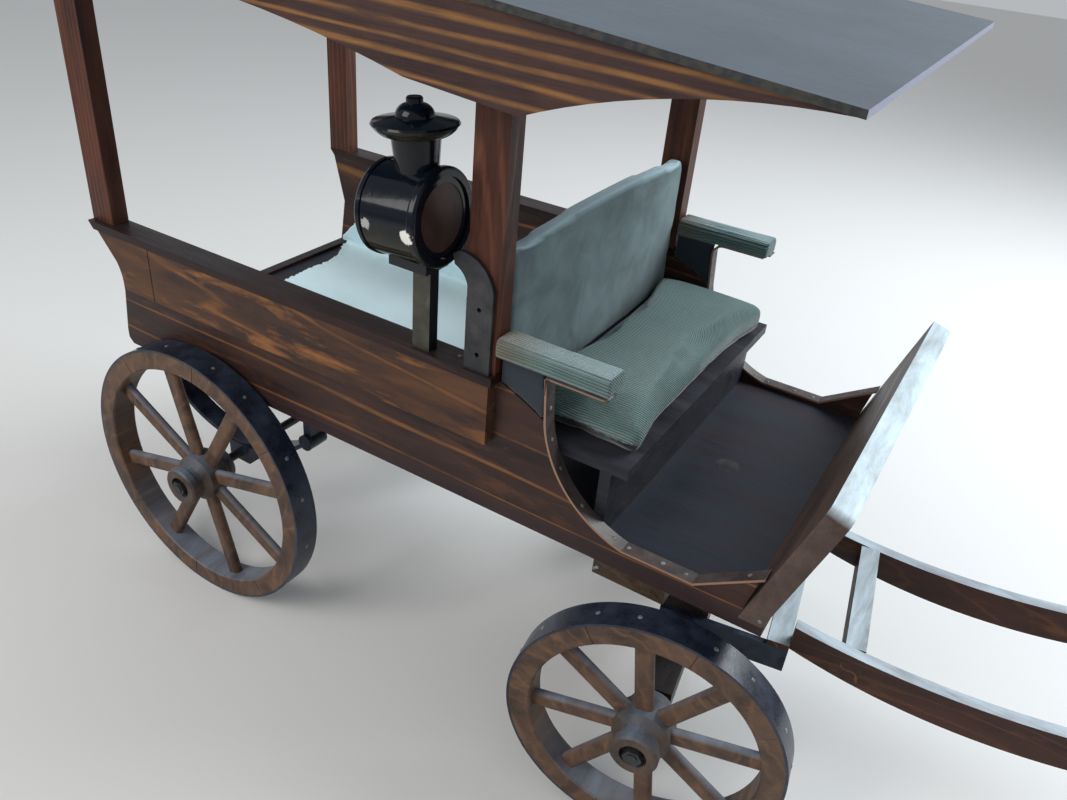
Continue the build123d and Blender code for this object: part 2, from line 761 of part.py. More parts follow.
def build():
    """Every piece by its node's name."""
    nodes = {}
    nodes["floor_board"] = floor_board()
    nodes["tail_sill"] = slab(body_rear, body_rear + sill_t, -side_inner, side_inner,
                              floor_top, floor_top + sill_height)
    nodes["floor_cloth"] = slab(cloth_rear, post_front + 6, -side_inner + 3, side_inner - 3,
                                floor_top, floor_top + cloth_t)
    nodes["front_board"] = front_board()
    nodes["roof_board"] = roof_plate(roof_rear, roof_front, roof_half, 0, roof_t)
    half = roof_half - valance_inset - valance_t
    middles = [post_rear + post_x / 2, post_front + post_x / 2]
    battens = [roof_plate(x - batten_x / 2, x + batten_x / 2, half, roof_t, batten_z) for x in middles]
    nodes["roof_battens"] = Compound(battens)
    nodes["seat_board"] = slab(back_front - back_t, seat_front - seat_nose, -side_inner, side_inner,
                               seat_top - seat_board_t, seat_top)
    riser_x = seat_front - seat_nose - riser_inset
    nodes["seat_riser"] = slab(riser_x - riser_t, riser_x, -side_inner, side_inner,
                               floor_top, seat_top - seat_board_t)
    nodes["seat_cushion"] = cushion()
    nodes["seat_back"] = seat_back()
    nodes["bolster"] = bolster()
    nodes["king_pin"] = king_pin()
    nodes["rear_axle"] = axle(rear_r)
    nodes["lamp_body_right"] = lamp_body()
    nodes["lamp_glass_right"] = lamp_glass()
    nodes["lamp_stand_right"] = lamp_stand()
    nodes["lamp_bracket_right"] = lamp_bracket()

    sided = {
        "side_board": side_board(),
        "side_panel": side_panel(),
        "rail": rail(),
        "footwell_edging": edging(),
        "post_rear": post(post_rear, rail_top),
        "post_front": post(post_front, rail_top),
        "roof_valance": valance(),
        "armrest": armrest(),
        "rear_spring": rear_spring(),
    }
    for name, part in sided.items():
        nodes[name + "_right"] = part
        nodes[name + "_left"] = left(part)

    carriage = {
        "turntable": turntable(),
        "axle_beam": axle_beam(),
        "front_axle": front_axle(),
        "draw_bars": Compound(draw_bars()),
        "cross_beam": cross_beam(),
        "shaft_right": shaft(),
        "shaft_left": left(shaft()),
        "shaft_bar": shaft_bar(),
    }
    for name, part in carriage.items():
        nodes[name] = steered(part)

    # columns: end of the cart, wheel radius, turn of its spokes, how the wheel is placed
    axles = [
        ("rear", rear_r, rear_spoke_turn, lambda part: part),
        ("front", front_r, front_spoke_turn, steered),
    ]
    for end, radius, turn, place in axles:
        for kind, part in wheel_pieces(radius, turn).items():
            right = Pos(0, -half_track, radius) * part
            nodes["wheel_" + end + "_right_" + kind] = place(right)
            nodes["wheel_" + end + "_left_" + kind] = place(left(right))
    return {name: stored(part) for name, part in nodes.items()}


os.makedirs("parts", exist_ok=True)
for name, part in build().items():
    export_step(part, os.path.join("parts", name + ".step"))
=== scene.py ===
import math
import random

import bpy
from mathutils import Matrix, Quaternion, Vector
from mathutils import noise as perlin


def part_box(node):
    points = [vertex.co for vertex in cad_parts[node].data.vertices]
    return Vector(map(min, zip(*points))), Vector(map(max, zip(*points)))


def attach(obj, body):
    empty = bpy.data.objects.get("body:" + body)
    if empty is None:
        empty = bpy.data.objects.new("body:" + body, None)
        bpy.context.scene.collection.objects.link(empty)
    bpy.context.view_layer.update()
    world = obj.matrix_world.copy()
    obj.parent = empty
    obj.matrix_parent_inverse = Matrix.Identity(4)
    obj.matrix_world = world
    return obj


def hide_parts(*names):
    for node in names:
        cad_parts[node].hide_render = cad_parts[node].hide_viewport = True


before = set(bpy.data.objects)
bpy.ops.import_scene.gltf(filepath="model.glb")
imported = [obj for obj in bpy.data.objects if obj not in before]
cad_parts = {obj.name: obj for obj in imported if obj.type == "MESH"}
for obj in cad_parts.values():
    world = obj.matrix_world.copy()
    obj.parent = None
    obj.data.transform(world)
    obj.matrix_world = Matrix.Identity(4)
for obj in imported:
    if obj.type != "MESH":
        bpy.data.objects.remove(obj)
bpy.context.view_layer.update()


def node_box(name):
    """Lowest and highest corner of one of the cart's pieces, as vectors."""
    low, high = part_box(name)
    return Vector(low), Vector(high)


def middle(name):
    """Middle of one of the cart's pieces."""
    low, high = node_box(name)
    return (low + high) / 2


rear_axle_x = middle("wheel_rear_right_tyre").x
floor_top = node_box("floor_board")[1].z
parked_turn = math.radians(8.85)    # how far the fore-carriage stands turned to the left


def at(x, y, z):
    """A place given from the rear axle's middle, in millimetres."""
    return Vector((rear_axle_x + x / 1000, y / 1000, z / 1000))


# Node materials

def add(tree, kind, inputs=(), **settings):
    """Adds a shader node, sets it, and links or sets its inputs."""
    made = tree.nodes.new("ShaderNode" + kind)
    for key, value in settings.items():
        setattr(made, key, value)
    for key, value in dict(inputs).items():
        if isinstance(value, bpy.types.NodeSocket):
            tree.links.new(value, made.inputs[key])
        else:
            made.inputs[key].default_value = value
    return made


def stained(name, roughness, **sockets):
    """A new material: its node tree and its shader."""
    material = bpy.data.materials.new(name)
    material.use_nodes = True
    shader = material.node_tree.nodes["Principled BSDF"]
    shader.inputs["Roughness"].default_value = roughness
    for key, value in sockets.items():
        shader.inputs[key.replace("_", " ")].default_value = value
    return material, material.node_tree, shader


def colour(*rgb):
    return (*rgb, 1.0)


def ramp(tree, fac, *stops):
    """Colour along a factor, from (position, colour) stops."""
    made = add(tree, "ValToRGB", {"Fac": fac})
    band = made.color_ramp
    while len(band.elements) < len(stops):
        band.elements.new(0.5)
    for element, (position, value) in zip(band.elements, stops):
        element.position = position
        element.color = value
    return made.outputs["Color"]


def step(tree, value, low, high, to_low=0.0, to_high=1.0):
    """A value stretched from low..high to to_low..to_high, and held there."""
    inputs = {"Value": value, "From Min": low, "From Max": high, "To Min": to_low, "To Max": to_high}
    return add(tree, "MapRange", inputs).outputs["Result"]


def sum_of(tree, operation, first, second):
    return add(tree, "Math", {0: first, 1: second}, operation=operation).outputs["Value"]


def mixed(tree, fac, first, second, blend="MIX"):
    """Two colours mixed."""
    made = add(tree, "Mix", data_type="RGBA", blend_type=blend)
    for place, value in ((0, fac), (6, first), (7, second)):
        if isinstance(value, bpy.types.NodeSocket):
            tree.links.new(value, made.inputs[place])
        else:
            made.inputs[place].default_value = value
    return made.outputs[2]


def spot(tree, scale=(1, 1, 1), shift=(0, 0, 0), turn=(0, 0, 0)):
    """Place on the piece, scaled and shifted, for a pattern to follow."""
    coords = add(tree, "TexCoord").outputs["Object"]
    inputs = {"Vector": coords, "Scale": scale, "Location": shift, "Rotation": turn}
    return add(tree, "Mapping", inputs).outputs["Vector"]


def noise(tree, place, scale, detail=4.0, rough=0.55, warp=0.0):
    inputs = {"Vector": place, "Scale": scale, "Detail": detail, "Roughness": rough, "Distortion": warp}
    return add(tree, "TexNoise", inputs).outputs["Fac"]


def bump(tree, shader, height, distance, strength=1.0):
    made = add(tree, "Bump", {"Height": height, "Distance": distance, "Strength": strength})
    tree.links.new(made.outputs["Normal"], shader.inputs["Normal"])


AXES = {"X": 0, "Y": 1, "Z": 2}


def worn_board(name, along="X", apart=0.022, shift=(0.0, 0.10, -0.035), wander=2.2, turn=(0, 0, 0),
               shade=(0.022, 0.010, 0.008), body=(0.060, 0.026, 0.014), line=(0.25, 0.098, 0.026), lines=0.60,
               thin=0.10, patch=(0.22, 0.080, 0.022), patches=0.45, fibre=0.45, dust_and_painted_light=(0.10, 0.10, 0.11),
               dust_and_painted_light_share=0.2, roughness=0.40, relief=0.5):
    """Worn dark stain on softwood: wavy growth lines and patches where the bare wood shows through, and faces
    that look up taking a colour that is partly dust and partly painted light from above.
    """
    material, tree, shader = stained(name, roughness, Specular_IOR_Level=0.22)
    stretch = [1.0, 1.0, 1.0]
    stretch[AXES[along]] = 0.07
    place = spot(tree, stretch, shift, turn)
    far = add(tree, "VectorMath", {0: place}, operation="LENGTH").outputs["Value"]
    sway = noise(tree, place, 0.40 / apart, 2.5, 0.5)
    swayed = sum_of(tree, "MULTIPLY", sway, wander)
    rings = sum_of(tree, "ADD", sum_of(tree, "MULTIPLY", far, 1 / apart), swayed)
    ridge = sum_of(tree, "PINGPONG", rings, 0.5)
    stretch[AXES[along]] = 0.22
    clouds = noise(tree, spot(tree, stretch, shift), 34, 5.0, 0.62)
    wear = noise(tree, spot(tree, stretch, (0.31, 0.17, 0.43)), 46, 6.0, 0.66, 0.3)
    stretch[AXES[along]] = 0.025
    fibres = noise(tree, spot(tree, stretch, shift), 800, 3.0, 0.6)
    tone = mixed(tree, step(tree, clouds, 0.36, 0.62), colour(*shade), colour(*body))
    tone = mixed(tree, step(tree, wear, 0.56, 0.74, 0, patches), tone, colour(*patch))
    broken = step(tree, wear, 0.34, 0.58, 0.15 * lines, lines)
    drawn = sum_of(tree, "MULTIPLY", step(tree, ridge, thin * 0.25, thin, 1, 0), broken)
    tone = mixed(tree, drawn, tone, colour(*line))
    thread = ramp(tree, fibres, (0.30, colour(0.62, 0.60, 0.60)), (0.64, colour(1.25, 1.22, 1.18)))
    tone = mixed(tree, fibre, tone, mixed(tree, 1.0, tone, thread, "MULTIPLY"))
    up = add(tree, "SeparateXYZ", {0: add(tree, "NewGeometry").outputs["Normal"]}).outputs["Z"]
    lying = step(tree, up, 0.35, 0.95)
    # faces that look up are mixed towards the dust colour: dust, and painted glare and sky reflection where
    # the light falls on them
    dust_and_painted_light_mask = sum_of(tree, "MULTIPLY", lying, step(tree, wear, 0.30, 0.62, 0.35 * dust_and_painted_light_share, dust_and_painted_light_share))
    tone = mixed(tree, dust_and_painted_light_mask, tone, colour(*dust_and_painted_light))
    tree.links.new(tone, shader.inputs["Base Color"])
    rub = step(tree, sum_of(tree, "ADD", fibres, clouds), 0.7, 1.3, roughness - 0.10, roughness + 0.22)
    tree.links.new(rub, shader.inputs["Roughness"])
    height = sum_of(tree, "ADD", sum_of(tree, "MULTIPLY", ridge, 0.5), sum_of(tree, "MULTIPLY", fibres, 0.7))
    bump(tree, shader, height, 0.0006, relief)
    return material


def dull_iron(name, shade=(0.012, 0.013, 0.016), worn=(0.045, 0.045, 0.048), roughness=0.42):
    """Black iron, rubbed and a little scratched."""
    material, tree, shader = stained(name, roughness, Specular_IOR_Level=0.35)
    cloud = noise(tree, spot(tree), 45, 6.0, 0.65)
    specks = noise(tree, spot(tree), 420, 3.0, 0.7)
    tone = mixed(tree, step(tree, cloud, 0.42, 0.72), colour(*shade), colour(*worn))
    tone = mixed(tree, step(tree, specks, 0.66, 0.74, 0, 0.5), tone, colour(0.10, 0.095, 0.09))
    tree.links.new(tone, shader.inputs["Base Color"])
    tree.links.new(step(tree, cloud, 0.3, 0.8, roughness - 0.1, roughness + 0.2), shader.inputs["Roughness"])
    bump(tree, shader, specks, 0.0004, 0.4)
    return material


def painted_roof(name):
    """Slate blue paint, thin and brushed along the roof, its sawn side edges dark and rough, its front edge a
    pale lavender painted highlight.
    """
    material, tree, shader = stained(name, 0.36)
    drag = noise(tree, spot(tree, (0.05, 1, 1)), 260, 4.0, 0.6)
    cloud = noise(tree, spot(tree), 9, 5.0, 0.6)
    dents = noise(tree, spot(tree), 170, 2.0, 0.5)
    tone = ramp(tree, cloud, (0.30, colour(0.034, 0.050, 0.070)), (0.70, colour(0.060, 0.086, 0.114)))
    tone = mixed(tree, step(tree, drag, 0.35, 0.70, 0, 0.35), tone, colour(0.092, 0.122, 0.152))
    tone = mixed(tree, step(tree, dents, 0.70, 0.76, 0, 0.6), tone, colour(0.03, 0.035, 0.045))
    facing = add(tree, "SeparateXYZ", {0: add(tree, "NewGeometry").outputs["Normal"]})
    flank = add(tree, "Math", {0: facing.outputs["Y"]}, operation="ABSOLUTE").outputs["Value"]
    chipped = ramp(tree, dents, (0.40, colour(0.010, 0.012, 0.016)), (0.60, colour(0.030, 0.028, 0.022)))
    tone = mixed(tree, step(tree, flank, 0.5, 0.8), tone, chipped)
    # faces that look forward get a painted highlight in pale lavender
    tone = mixed(tree, step(tree, facing.outputs["X"], 0.5, 0.8), tone, colour(0.30, 0.32, 0.42))
    tree.links.new(tone, shader.inputs["Base Color"])
    tree.links.new(step(tree, drag, 0.3, 0.8, 0.30, 0.48), shader.inputs["Roughness"])
    bump(tree, shader, sum_of(tree, "ADD", drag, sum_of(tree, "MULTIPLY", dents, 0.6)), 0.0004, 0.5)
    return material


chip_front = at(298, -222.5, 515)
chip_side = at(260, -222.5, 516)


def lamp_lacquer(name):
    """Black lacquer over tinplate, with a painted olive reflection on the faces that look down."""
    material, tree, shader = stained(name, 0.13, Specular_IOR_Level=0.16, Coat_Weight=0.16,
                                     Coat_Roughness=0.04)
    cloud = noise(tree, spot(tree), 38, 5.0, 0.6)
    chips = noise(tree, spot(tree), 75, 4.0, 0.75, 0.4)
    facing = add(tree, "SeparateXYZ", {0: add(tree, "NewGeometry").outputs["Normal"]}).outputs["Z"]
    # faces that look down get an olive tone: a painted reflection of the floor below
    down = step(tree, facing, -0.75, 0.1)
    olive = ramp(tree, cloud, (0.35, colour(0.014, 0.013, 0.009)), (0.70, colour(0.034, 0.030, 0.018)))
    tone = mixed(tree, down, olive, colour(0.003, 0.005, 0.010))
    tone = mixed(tree, step(tree, chips, 0.74, 0.75), tone, colour(0.45, 0.43, 0.38))
    # columns: where the lacquer is chipped off, how far from there, what shows under it
    bare_places = ((chip_front, 0.0115, (0.72, 0.72, 0.66)), (chip_side, 0.0095, (0.34, 0.34, 0.32)))
    for place, reach, bare in bare_places:
        away = add(tree, "VectorMath", {0: spot(tree), 1: place}, operation="DISTANCE").outputs["Value"]
        ragged = sum_of(tree, "MULTIPLY", noise(tree, spot(tree), 260, 4.0, 0.7), 0.012)
        away = sum_of(tree, "ADD", away, ragged)
        tone = mixed(tree, step(tree, away, reach, reach + 0.0008, 1, 0), tone, colour(*bare))
    tree.links.new(tone, shader.inputs["Base Color"])
    bump(tree, shader, chips, 0.0006, 0.25)
    return material


def olive_bronze(name):
    """Dull olive paint on the lamp's stem, rubbed at random, its front faces painted near black as shade, and
    near black on the saddle.
    """
    material, tree, shader = stained(name, 0.45, Specular_IOR_Level=0.35)
    cloud = noise(tree, spot(tree), 55, 6.0, 0.65)
    tone = ramp(tree, cloud, (0.35, colour(0.026, 0.024, 0.018)), (0.60, colour(0.052, 0.048, 0.034)),
                (0.78, colour(0.105, 0.092, 0.062)))
    # faces that look forward are painted near black: painted shade
    shaded_front = add(tree, "SeparateXYZ", {0: add(tree, "NewGeometry").outputs["Normal"]}).outputs["X"]
    tone = mixed(tree, step(tree, shaded_front, 0.4, 0.7), tone, colour(0.008, 0.009, 0.012))
    height = add(tree, "SeparateXYZ", {0: spot(tree)}).outputs["Z"]
    tone = mixed(tree, step(tree, height, 0.474, 0.476), tone, colour(0.006, 0.007, 0.009))
    tree.links.new(tone, shader.inputs["Base Color"])
    bump(tree, shader, cloud, 0.0005, 0.4)
    return material


def smoked_glass(name):
    """Brown glass over a dark inside."""
    material, tree, shader = stained(name, 0.34, Specular_IOR_Level=0.22)
    cloud = noise(tree, spot(tree), 30, 4.0, 0.6)
    tone = ramp(tree, cloud, (0.3, colour(0.040, 0.021, 0.018)), (0.7, colour(0.078, 0.044, 0.036)))
    tree.links.new(tone, shader.inputs["Base Color"])
    return material


def strap_leather(name):
    """Brown strap, dark on its face, copper where the cut edge shows."""
    material, tree, shader = stained(name, 0.45)
    cloud = noise(tree, spot(tree), 70, 6.0, 0.65)
    pores = noise(tree, spot(tree), 1400, 2.0, 0.6)
    tone = ramp(tree, cloud, (0.35, colour(0.034, 0.026, 0.024)), (0.65, colour(0.082, 0.064, 0.060)))
    facing = add(tree, "SeparateXYZ", {0: add(tree, "NewGeometry").outputs["Normal"]}).outputs["Y"]
    edge = step(tree, add(tree, "Math", {0: facing}, operation="ABSOLUTE").outputs["Value"], 0.55, 0.9)
    tone = mixed(tree, edge, tone, colour(0.25, 0.135, 0.085))
    tree.links.new(tone, shader.inputs["Base Color"])
    bump(tree, shader, pores, 0.0003, 0.5)
    return material


def corduroy(name, hem, under, torn=0.0, faded_and_lit=(0.16, 0.25, 0.24), aged=None, pitch=0.0026):
    """Teal corduroy, its ribs along the cart, down to the height of its hem, and what shows under that.

    It is faded and painted lighter where it faces up, partly a painted highlight, and browned behind, between
    two places. What shows under the hem is partly painted shade.
    """
    material, tree, shader = stained(name, 0.9, Sheen_Weight=0.4, Sheen_Roughness=0.45,
                                     Specular_IOR_Level=0.2)
    place = add(tree, "SeparateXYZ", {0: spot(tree)})
    aside = add(tree, "Math", {0: place.outputs["Y"]}, operation="ABSOLUTE").outputs["Value"]
    across = sum_of(tree, "SUBTRACT", aside, place.outputs["Z"])
    wander = noise(tree, spot(tree, (0.2, 1, 1)), 60, 3.0, 0.5)
    turns = sum_of(tree, "MULTIPLY", across, 2 * math.pi / pitch)
    turns = sum_of(tree, "ADD", turns, sum_of(tree, "MULTIPLY", wander, 3.0))
    ribs = step(tree, add(tree, "Math", {0: turns}, operation="SINE").outputs["Value"], -1.0, 1.0)
    fluff = noise(tree, spot(tree, (0.2, 1, 1)), 900, 4.0, 0.7)
    cloud = noise(tree, spot(tree), 22, 4.0, 0.6)
    tone = mixed(tree, ribs, colour(0.045, 0.090, 0.090), colour(0.150, 0.240, 0.230))
    patches = ramp(tree, cloud, (0.3, colour(0.72, 0.78, 0.78)), (0.7, colour(1.2, 1.2, 1.15)))
    tone = mixed(tree, 1.0, tone, patches, "MULTIPLY")
    tone = mixed(tree, step(tree, fluff, 0.55, 0.8, 0, 0.30), tone, colour(0.30, 0.38, 0.36))
    up = add(tree, "SeparateXYZ", {0: add(tree, "NewGeometry").outputs["Normal"]}).outputs["Z"]
    # faces that look up are faded and painted lighter: partly a painted highlight
    tone = mixed(tree, step(tree, up, 0.45, 0.9, 0, 0.65), tone, colour(*faded_and_lit))
    if aged:
        browned = step(tree, place.outputs["X"], aged[0].x, aged[1].x, 0.75, 0)
        tone = mixed(tree, browned, tone, colour(0.115, 0.088, 0.042))
    ragged = sum_of(tree, "MULTIPLY", sum_of(tree, "ADD", fluff, cloud), torn)
    edge = sum_of(tree, "ADD", place.outputs["Z"], ragged)
    covered = step(tree, edge, hem + torn, hem + torn + 0.0008)
    # under the hem the colour is dark: partly painted shade
    tone = mixed(tree, covered, colour(*under), tone)
    tree.links.new(tone, shader.inputs["Base Color"])
    relief = sum_of(tree, "ADD", ribs, sum_of(tree, "MULTIPLY", fluff, 0.4))
    bump(tree, shader, sum_of(tree, "MULTIPLY", relief, covered), 0.0011, 0.9)
    return material


def pale_weave(name, shade, crease_shade, top):
    """Blue-green cotton, a little creased, darker in its creases as painted shade, lighter where it faces up
    as a painted highlight.
    """
    material, tree, shader = stained(name, 0.92, Sheen_Weight=0.3, Specular_IOR_Level=0.2)
    thread = {"Vector": spot(tree), "Scale": 340, "Distortion": 0.4}
    warp = add(tree, "TexWave", thread, bands_direction="Y").outputs["Fac"]
    weft = add(tree, "TexWave", thread, bands_direction="Z").outputs["Fac"]
    cloth = sum_of(tree, "MULTIPLY", warp, weft)
    creases = noise(tree, spot(tree), 26, 5.0, 0.55, 0.6)
    # the creases are painted darker: painted shade
    tone = mixed(tree, step(tree, creases, 0.35, 0.68), colour(*crease_shade), colour(*shade))
    up = add(tree, "SeparateXYZ", {0: add(tree, "NewGeometry").outputs["Normal"]}).outputs["Z"]
    # faces that look up take the top colour: a painted highlight
    tone = mixed(tree, step(tree, up, 0.25, 0.85), tone, colour(*top))
    tree.links.new(tone, shader.inputs["Base Color"])
    relief = sum_of(tree, "ADD", sum_of(tree, "MULTIPLY", cloth, 0.15), creases)
    bump(tree, shader, relief, 0.0016, 0.6)
    return material


def dress(material, *names):
    """Gives one of the cart's pieces its finish."""
    for name in names:
        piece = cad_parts[name]
        piece.data.materials.clear()
        piece.data.materials.append(material)


def both(name):
    return [name + "_right", name + "_left"]


def dress_body():
    """Finishes of the boards, posts and roof."""
    side = worn_board("side_board_stain", apart=0.034, turn=(0, math.radians(-1.5), 0), wander=3.0,
                      shade=(0.019, 0.010, 0.010), body=(0.048, 0.023, 0.017), line=(0.27, 0.115, 0.034),
                      lines=0.62, thin=0.055, patch=(0.20, 0.076, 0.024), patches=0.38)
    dress(side, *both("side_board"))
    panel = worn_board("side_panel_stain", apart=0.017, shift=(0.3, 0.14, -0.30), wander=2.6,
                       shade=(0.030, 0.015, 0.012), body=(0.096, 0.043, 0.021), line=(0.26, 0.105, 0.030),
                       lines=0.55, thin=0.08, patch=(0.32, 0.130, 0.034), patches=0.85)
    dress(panel, *both("side_panel"))
    cap = worn_board("rail_stain", apart=0.012, shift=(0.1, 0.02, -0.04), shade=(0.010, 0.005, 0.005),
                     body=(0.024, 0.010, 0.009), line=(0.045, 0.020, 0.016), lines=0.4,
                     patch=(0.06, 0.025, 0.018), patches=0.25, dust_and_painted_light_share=0.1, roughness=0.34)
    dress(cap, *both("rail"), "tail_sill")
    upright = worn_board("post_stain", along="Z", apart=0.0055, shift=(0.12, 0.16, 0.0), wander=1.5,
                         shade=(0.028, 0.010, 0.007), body=(0.082, 0.026, 0.014),
                         line=(0.150, 0.055, 0.030), lines=0.6,
                         thin=0.22, patch=(0.17, 0.055, 0.024), patches=0.35, relief=0.8)
    dress(upright, *both("post_rear"), *both("post_front"))
    apron = worn_board("valance_stain", apart=0.010, shift=(0.0, 0.20, -0.48), wander=1.6,
                       turn=(0, math.radians(8), 0), shade=(0.024, 0.012, 0.013), body=(0.050, 0.025, 0.022),
                       line=(0.24, 0.112, 0.036), lines=0.85, thin=0.24, patch=(0.13, 0.050, 0.022),
                       patches=0.35)
    dress(apron, *both("roof_valance"))
    batten = worn_board("batten_stain", along="Y", apart=0.009)
    dress(batten, "roof_battens")
    dress(painted_roof("roof_paint"), "roof_board")
    # its pale cyan-white top is dust and a painted glare, given to the faces that look up
    front = worn_board("front_board_stain", along="Y", apart=0.020, shift=(-0.45, 0.0, -0.22),
                       shade=(0.050, 0.032, 0.027),
                       body=(0.092, 0.062, 0.052), line=(0.13, 0.075, 0.050), lines=0.3,
                       patch=(0.11, 0.06, 0.04), patches=0.3, dust_and_painted_light_share=1.0, dust_and_painted_light=(0.58, 0.72, 0.78))
    dress(front, "front_board")
    bottom = worn_board("floor_stain", apart=0.030, shift=(0.0, 0.2, 0.2), shade=(0.020, 0.011, 0.012),
                        body=(0.036, 0.019, 0.020), line=(0.070, 0.035, 0.026), lines=0.3,
                        patch=(0.075, 0.034, 0.022), patches=0.35, dust_and_painted_light_share=1.0, dust_and_painted_light=(0.018, 0.024, 0.036))
    dress(bottom, "floor_board")
    # near black blue-grey: dark paint that also stands in for the shade under the seat
    inside = worn_board("seat_frame_stain", apart=0.025, shift=(0.0, 0.2, 0.2), shade=(0.008, 0.008, 0.012),
                        body=(0.020, 0.022, 0.030), line=(0.04, 0.04, 0.045), lines=0.3,
                        patch=(0.05, 0.03, 0.022), patches=0.2)
    dress(inside, "seat_board", "seat_riser")
    bar = worn_board("bolster_stain", along="Y", apart=0.014, shade=(0.035, 0.024, 0.016),
                     body=(0.090, 0.062, 0.042),
                     line=(0.15, 0.10, 0.06), lines=0.3, patch=(0.17, 0.13, 0.09), patches=0.4)
    dress(bar, "bolster")


def dress_running_gear():
    """Finishes of wheels, axles, springs, fore-carriage and shafts."""
    iron = dull_iron("black_iron")
    oily = dull_iron("blue_black_iron", shade=(0.010, 0.014, 0.026), worn=(0.030, 0.042, 0.070),
                     roughness=0.30)
    dress(iron, "rear_axle", "front_axle", "king_pin", "lamp_bracket_right")
    dress(oily, *both("rear_spring"), "draw_bars")
    # its blue-grey tops are dust and a painted sky reflection
    hub = worn_board("hub_stain", along="Y", apart=0.012, shade=(0.034, 0.026, 0.023),
                     body=(0.088, 0.060, 0.046),
                     line=(0.14, 0.092, 0.064), lines=0.3, patch=(0.15, 0.092, 0.058), patches=0.4, dust_and_painted_light_share=1.0,
                     dust_and_painted_light=(0.13, 0.165, 0.215))
    for end in ("front", "rear"):
        for side in ("right", "left"):
            wheel = f"wheel_{end}_{side}"
            dress(oily, wheel + "_tyre")
            dress(wheel_stain(wheel), wheel + "_rim")
            dress(hub, wheel + "_hub")
    # its pale blue-grey tops are a painted reflection of the window light, with some dust
    shaft = worn_board("shaft_stain", apart=0.012, shift=(0.0, 0.06, -0.12), shade=(0.030, 0.012, 0.009),
                       body=(0.060, 0.024, 0.016), line=(0.13, 0.050, 0.024), lines=0.5, dust_and_painted_light_share=1.0,
                       dust_and_painted_light=(0.42, 0.50, 0.56))
    dress(shaft, *both("shaft"))
    # their pale tops are a painted glare, with some dust
    pale = worn_board("cross_beam_stain", along="Y", apart=0.012, dust_and_painted_light_share=1.0, dust_and_painted_light=(0.52, 0.62, 0.68))
    dress(pale, "cross_beam", "shaft_bar")
    black = worn_board("beam_stain", along="Y", apart=0.014, shift=(0.1, 0.0, 0.1),
                       shade=(0.009, 0.008, 0.008),
                       body=(0.024, 0.018, 0.016), line=(0.055, 0.038, 0.028), lines=0.4,
                       patch=(0.06, 0.04, 0.03))
    dress(black, "axle_beam", "turntable")


def wheel_stain(wheel):
    """Rubbed brown stain on one wheel, its grain running round the rim, blue-grey where it faces up: dust and
    a painted sky reflection.
    """
    return worn_board(wheel + "_stain", along="Y", apart=0.016, shift=(0.05, 0.0, -0.05), wander=3.5,
                      shade=(0.048, 0.030, 0.022), body=(0.115, 0.067, 0.044), line=(0.21, 0.115, 0.062),
                      lines=0.35,
                      thin=0.22, patch=(0.20, 0.105, 0.052), patches=0.5, dust_and_painted_light_share=0.9, dust_and_painted_light=(0.17, 0.21, 0.27),
                      roughness=0.42)


def dress_fittings():
    """The lamp, the strap round the footwell, the soft pieces and the nails."""
    lacquer = lamp_lacquer("lamp_lacquer")
    dress(lacquer, "lamp_body_right")
    dress(smoked_glass("lamp_glass_brown"), "lamp_glass_right")
    dress(olive_bronze("lamp_stand_olive"), "lamp_stand_right")
    leather = strap_leather("edging_strap")
    dress(leather, *both("footwell_edging"))
    # near black under the hem: painted shade over the dark stuffing
    rib = corduroy("seat_corduroy", hem=0.362, under=(0.005, 0.006, 0.008), torn=0.008)
    dress(rib, "seat_cushion")
    seat_pad(rib)
    # under the hem the gusset is painted dark as the armrest's shade; the pale top is partly a painted
    # highlight
    rib = corduroy("arm_corduroy", hem=0.4212, under=(0.022, 0.030, 0.040), faded_and_lit=(0.34, 0.47, 0.50),
                   aged=(at(360, 0, 0), at(404, 0, 0)))
    dress(rib, *both("armrest"))
    arm_pad(rib)
    # the seat back's colours are darkened as a painted shadow of the roof above, its top painted lighter as a
    # highlight
    cotton = pale_weave("back_cotton", shade=(0.14, 0.21, 0.22), crease_shade=(0.070, 0.110, 0.120),
                        top=(0.44, 0.61, 0.67))
    dress(cotton, "seat_back")
    back_pad(cotton)
    # the lining's colours are raised as painted window light falling on it
    pale = pale_weave("lining_cotton", shade=(0.68, 0.90, 0.97), crease_shade=(0.58, 0.80, 0.88),
                      top=(0.72, 0.93, 0.98))
    dress(pale, "floor_cloth")
    lining(pale)
    steel = dull_iron("nail_steel", shade=(0.10, 0.10, 0.10), worn=(0.30, 0.30, 0.31), roughness=0.3)
    strap_nails(steel)
    tyre_nails(steel)
    board_nails(steel)
    draw_bar_nails(steel)
    strap_end(leather)


# Modelling

def deselect():
    bpy.ops.object.select_all(action="DESELECT")


def pick(piece):
    """Selects one piece alone."""
    deselect()
    piece.select_set(True)
    bpy.context.view_layer.objects.active = piece


def new_block(name, low, high):
    """A block between two corners, selected, with its place in its mesh."""
    deselect()
    bpy.ops.mesh.primitive_cube_add(size=1, location=(low + high) / 2, scale=high - low)
    piece = bpy.context.object
    piece.name = piece.data.name = name
    bpy.ops.object.transform_apply(location=True, rotation=True, scale=True)
    return piece


def node_copy(name, node):
    """A copy of one of the cart's pieces, with its loose triangles merged."""
    piece = bpy.data.objects.new(name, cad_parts[node].data.copy())
    piece.data.name = name
    bpy.context.collection.objects.link(piece)
    pick(piece)
    bpy.ops.object.mode_set(mode="EDIT")
    bpy.ops.mesh.select_all(action="SELECT")
    bpy.ops.mesh.remove_doubles(threshold=0.00001)
    bpy.ops.object.mode_set(mode="OBJECT")
    return piece


